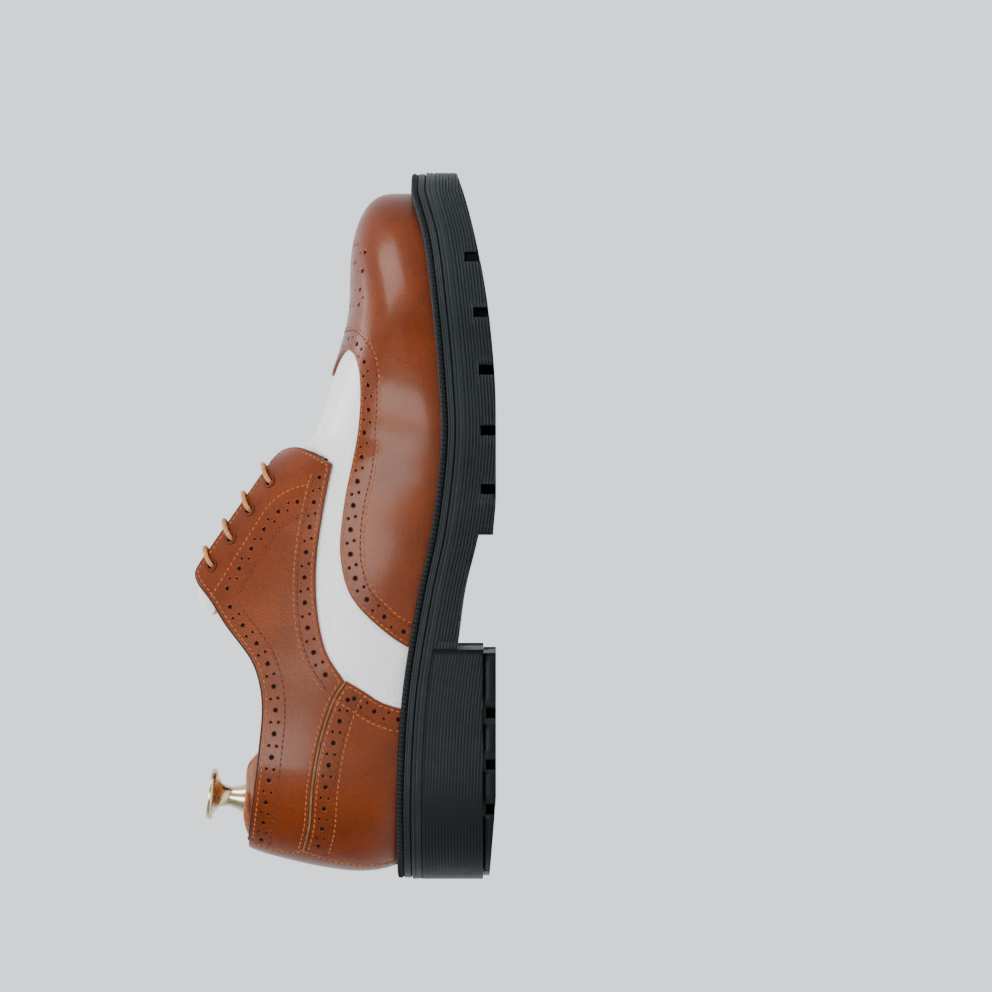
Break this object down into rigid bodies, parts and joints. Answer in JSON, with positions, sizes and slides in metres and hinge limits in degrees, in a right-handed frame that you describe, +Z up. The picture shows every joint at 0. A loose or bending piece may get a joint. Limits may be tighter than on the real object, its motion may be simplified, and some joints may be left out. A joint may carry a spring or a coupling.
{
  "type": "golf shoe",
  "caption": "Two-tone long-wing brogue golf shoe for the right foot, laced, with a ribbed rubber sole and a sprung cedar shoe tree inside.",
  "frame": {"origin": "middle of the sole's plan box on the ground", "axes": "+X towards the toe, +Y towards the medial side, +Z up"},
  "size_m": [0.304, 0.1111, 0.1299],
  "materials": {
    "tan_leather": "polished, punched and stitched",
    "white_leather": "smooth",
    "pale_piping": "smooth",
    "lining_leather": "matt",
    "board": "matt",
    "cork": "granular",
    "rubber": "ribbed and matt",
    "lace_cord": "waxed round braid",
    "steel": "brushed",
    "brass": "satin",
    "knob_metal": "satin pale gold plate",
    "cedar": "sanded"
  },
  "bodies": {
    "shoe": {"wing_cap": "tan_leather", "vamp": "white_leather", "toe_puff": "board", "quarter_lateral": "tan_leather", "quarter_medial": "tan_leather", "counter_lateral": "tan_leather", "counter_medial": "tan_leather", "counter_piping_lateral": "pale_piping", "counter_piping_medial": "pale_piping", "backstrap": "tan_leather", "heel_stiffener": "board", "interlining_lateral": "board", "interlining_medial": "board", "vamp_lining": "lining_leather", "quarter_lining": "lining_leather", "tongue": "white_leather", "eyelets": "brass", "lace": "lace_cord", "aglets": "lace_cord", "welt": "rubber", "storm_rand": "rubber", "steel_shank": "steel", "cork_filler": "cork", "insole_board": "board", "sock_lining": "lining_leather", "tree_forepart": "cedar", "tree_guide_pins": "cedar", "tree_side_springs": "steel", "tree_outer_tube": "steel", "tree_main_spring": "steel", "tree_tube_plug": "steel", "tree_ferrule": "brass", "midsole": "rubber", "outsole": "rubber", "heel_nails": "steel", "heel_block": "rubber", "heel_top_piece": "rubber"},
    "tree_heel": {"tree_heel_block": "cedar", "tree_inner_tube": "steel", "tree_tube_pin": "steel", "knob_screw": "steel", "tree_knob": "knob_metal"},
    "tree_side": {"tree_side_piece": "cedar"}
  },
  "joints": [
    {"name": "tree_heel_slide", "type": "slide", "parent": "shoe", "child": "tree_heel", "axis": [1, 0, 0], "range_m": [0, 0.02], "stiffness_N_per_m": 600, "springref_m": -0.01, "deforming": ["tree_main_spring"]},
    {"name": "tree_side_slide", "type": "slide", "parent": "shoe", "child": "tree_side", "axis": [0, -1, 0], "range_m": [0, 0.006], "stiffness_N_per_m": 800, "springref_m": -0.004, "deforming": ["tree_side_springs"]}
  ]
}
